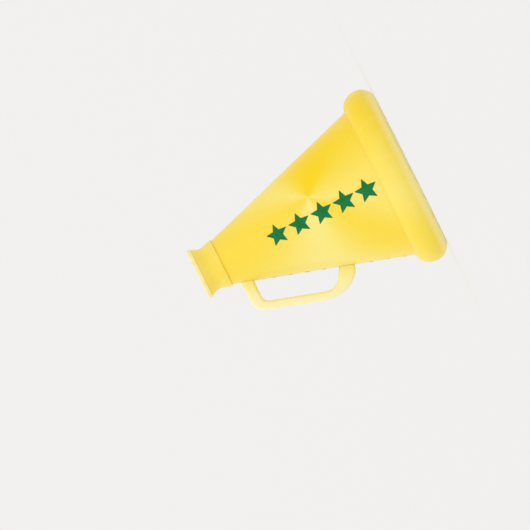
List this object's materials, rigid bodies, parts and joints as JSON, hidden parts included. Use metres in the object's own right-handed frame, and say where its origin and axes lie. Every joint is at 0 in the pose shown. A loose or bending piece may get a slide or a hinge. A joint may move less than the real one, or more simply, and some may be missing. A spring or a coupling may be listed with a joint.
{
  "type": "cheer megaphone",
  "caption": "Yellow cheer megaphone: an open cone with a fat rolled rim at the bell, a small flared mouthpiece, a side loop handle and a row of green stars.",
  "frame": {"origin": "centre of the bell's resting plane, on the cone's axis; the megaphone stands on its bell", "axes": "+Z along the cone's axis from the bell to the mouthpiece, +X from the axis towards the handle, +Y completes the right-handed frame"},
  "size_m": [0.3048, 0.3048, 0.3855],
  "materials": {
    "cone_plastic": "satin pearl yellow polyethylene sheet with a soft golden sheen",
    "rim_vinyl": "soft yellow vinyl moulding, satin",
    "mouthpiece_plastic": "moulded yellow plastic, satin",
    "lip_rubber": "soft pale cream rubber, matte",
    "handle_plastic": "moulded pale yellow plastic, satin",
    "star_vinyl": "cut green vinyl, satin",
    "rivet_metal": "yellow-dyed aluminium rivet",
    "steel": "zinc-plated steel",
    "plate_aluminium": "brushed sheet",
    "gasket_rubber": "matte yellow-cream rubber",
    "foam": null
  },
  "bodies": {
    "root": {"cone_shell": "cone_plastic", "seam_strip": "cone_plastic", "seam_rivets": "rivet_metal", "bell_hoop": "steel", "bell_rim": "rim_vinyl", "rim_foam_core": "foam", "mouthpiece_cup": "mouthpiece_plastic", "mouthpiece_lip": "lip_rubber", "throat_ring": "mouthpiece_plastic", "mouthpiece_rivets": "rivet_metal", "handle_right_half": "handle_plastic", "handle_left_half": "handle_plastic", "handle_screws": "steel", "front_foot_gasket": "gasket_rubber", "rear_foot_gasket": "gasket_rubber", "front_backing_plate": "plate_aluminium", "rear_backing_plate": "plate_aluminium", "front_foot_washers": "steel", "rear_foot_washers": "steel", "front_foot_screws": "steel", "rear_foot_screws": "steel", "star_right_1": "star_vinyl", "star_right_2": "star_vinyl", "star_right_3": "star_vinyl", "star_right_4": "star_vinyl", "star_right_5": "star_vinyl", "star_left_1": "star_vinyl", "star_left_2": "star_vinyl", "star_left_3": "star_vinyl", "star_left_4": "star_vinyl", "star_left_5": "star_vinyl"}
  },
  "joints": []
}
